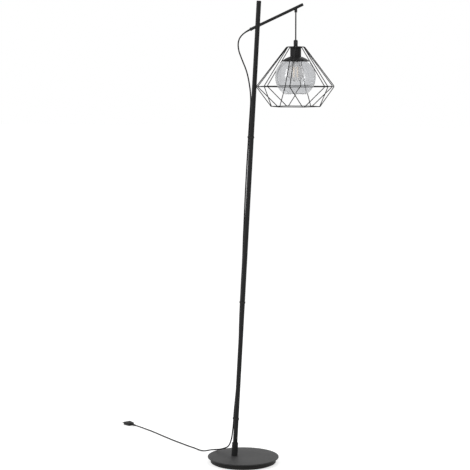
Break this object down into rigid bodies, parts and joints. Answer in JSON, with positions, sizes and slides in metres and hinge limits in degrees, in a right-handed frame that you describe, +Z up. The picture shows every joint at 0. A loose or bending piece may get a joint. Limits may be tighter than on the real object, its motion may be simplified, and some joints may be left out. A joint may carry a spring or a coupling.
{
  "type": "floor lamp",
  "caption": "Floor lamp: a leaning pole on a round weighted base, a slanted arm through its top, and a hexagonal wire cage shade with an open glass globe hanging from it on its cable.",
  "frame": {"origin": "centre of the base's underside, on the floor", "axes": "+Z up, +X the way the arm points, the pole and the arm in the plane Y = 0"},
  "size_m": [0.905, 0.6121, 1.6213],
  "materials": {
    "cover_paint": "satin charcoal powder coat",
    "weight_iron": "rough black-painted casting",
    "pad_felt": "black felt",
    "zinc_steel": "zinc plated",
    "black_screw": "black oxide",
    "black_metal": "satin black powder coat",
    "black_plastic": "fine-grained moulding",
    "soft_black": "matt",
    "cable_sheath": "smooth satin sheath",
    "lead_sheath": "smooth",
    "contact_brass": "stamped",
    "pin_nickel": "nickel plated",
    "smoked_glass": "smoked, polished",
    "bulb_glass": "clear",
    "bulb_cap_metal": "rolled",
    "bulb_insulator_black": "vitreous",
    "filament_coat": "phosphor coat"
  },
  "bodies": {
    "stand": {"base_pad": "pad_felt", "base_weight": "weight_iron", "base_cover": "cover_paint", "foot_bolt": "zinc_steel", "foot_washer": "zinc_steel", "pole_foot_insert": "zinc_steel", "foot_sleeve": "black_metal", "sleeve_screw": "black_screw", "pole_lower": "black_metal", "pole_middle": "black_metal", "pole_upper": "black_metal", "pole_joiner_lower": "zinc_steel", "pole_joiner_upper": "zinc_steel", "pole_top_cap": "black_metal", "arm_clamp_plug": "zinc_steel", "arm_grub_screw": "black_screw", "cord_clip_low": "soft_black", "cord_clip_middle": "soft_black", "cord_clip_top": "soft_black", "arm_tube": "black_metal", "arm_entry_bush": "black_plastic", "arm_end_cap": "black_plastic", "arm_cable": "cable_sheath", "arm_leads": "lead_sheath", "arm_gland": "black_metal", "feed_cord": "cable_sheath", "plug_relief": "soft_black", "plug_body": "black_plastic", "plug_pins": "pin_nickel"},
    "gland_ball": {"gland_grommet": "soft_black"},
    "cable": {"pendant_cable": "cable_sheath"},
    "shade": {"cord_grip": "black_plastic", "cord_grip_screw": "black_screw", "cord_nipple": "zinc_steel", "nipple_nut": "zinc_steel", "cage_top_plate": "black_metal", "cage_wire_1": "black_metal", "cage_wire_2": "black_metal", "cage_wire_3": "black_metal", "cage_wire_4": "black_metal", "cage_wire_5": "black_metal", "cage_wire_6": "black_metal", "cage_equator_rods": "black_metal", "cage_bottom_rods": "black_metal", "lampholder_cup": "black_metal", "lampholder_insert": "black_plastic", "lampholder_shell": "contact_brass", "lampholder_ring": "black_plastic", "terminal_screws": "contact_brass", "holder_leads": "lead_sheath", "dish_cap": "black_metal", "globe_gasket": "soft_black", "glass_globe": "smoked_glass"},
    "holder_contact": {"lampholder_tongue": "contact_brass"},
    "bulb": {"bulb_base": "bulb_cap_metal", "bulb_insulator": "bulb_insulator_black", "bulb_envelope": "bulb_glass", "bulb_stem": "bulb_glass", "bulb_filaments": "filament_coat"}
  },
  "joints": [
    {"name": "pendant_swing", "type": "hinge", "parent": "stand", "child": "gland_ball", "pos_m": [0.18353, 0, 1.58352], "axis": [0, -1, 0], "range_deg": [-1, 20]},
    {"name": "pendant_sway", "type": "hinge", "parent": "gland_ball", "child": "cable", "pos_m": [0.18353, 0, 1.58352], "axis": [1, 0, 0], "range_deg": [-5, 5]},
    {"name": "pendant_twist", "type": "hinge", "parent": "cable", "child": "shade", "pos_m": [0.18353, 0, 1.58352], "axis": [0, 0, 1], "range_deg": [-8, 8]},
    {"name": "contact_travel", "type": "slide", "parent": "shade", "child": "holder_contact", "axis": [0, 0, -1], "range_m": [0, 0.0025]},
    {"name": "bulb_turn", "type": "hinge", "parent": "holder_contact", "child": "bulb", "pos_m": [0.18353, 0, 1.4472], "axis": [0, 0, -1], "range_deg": [0, 250.5]}
  ],
  "couplings": [
    {"joint": "bulb_turn", "follows": "contact_travel", "rad_per_m": 1745.3}
  ]
}
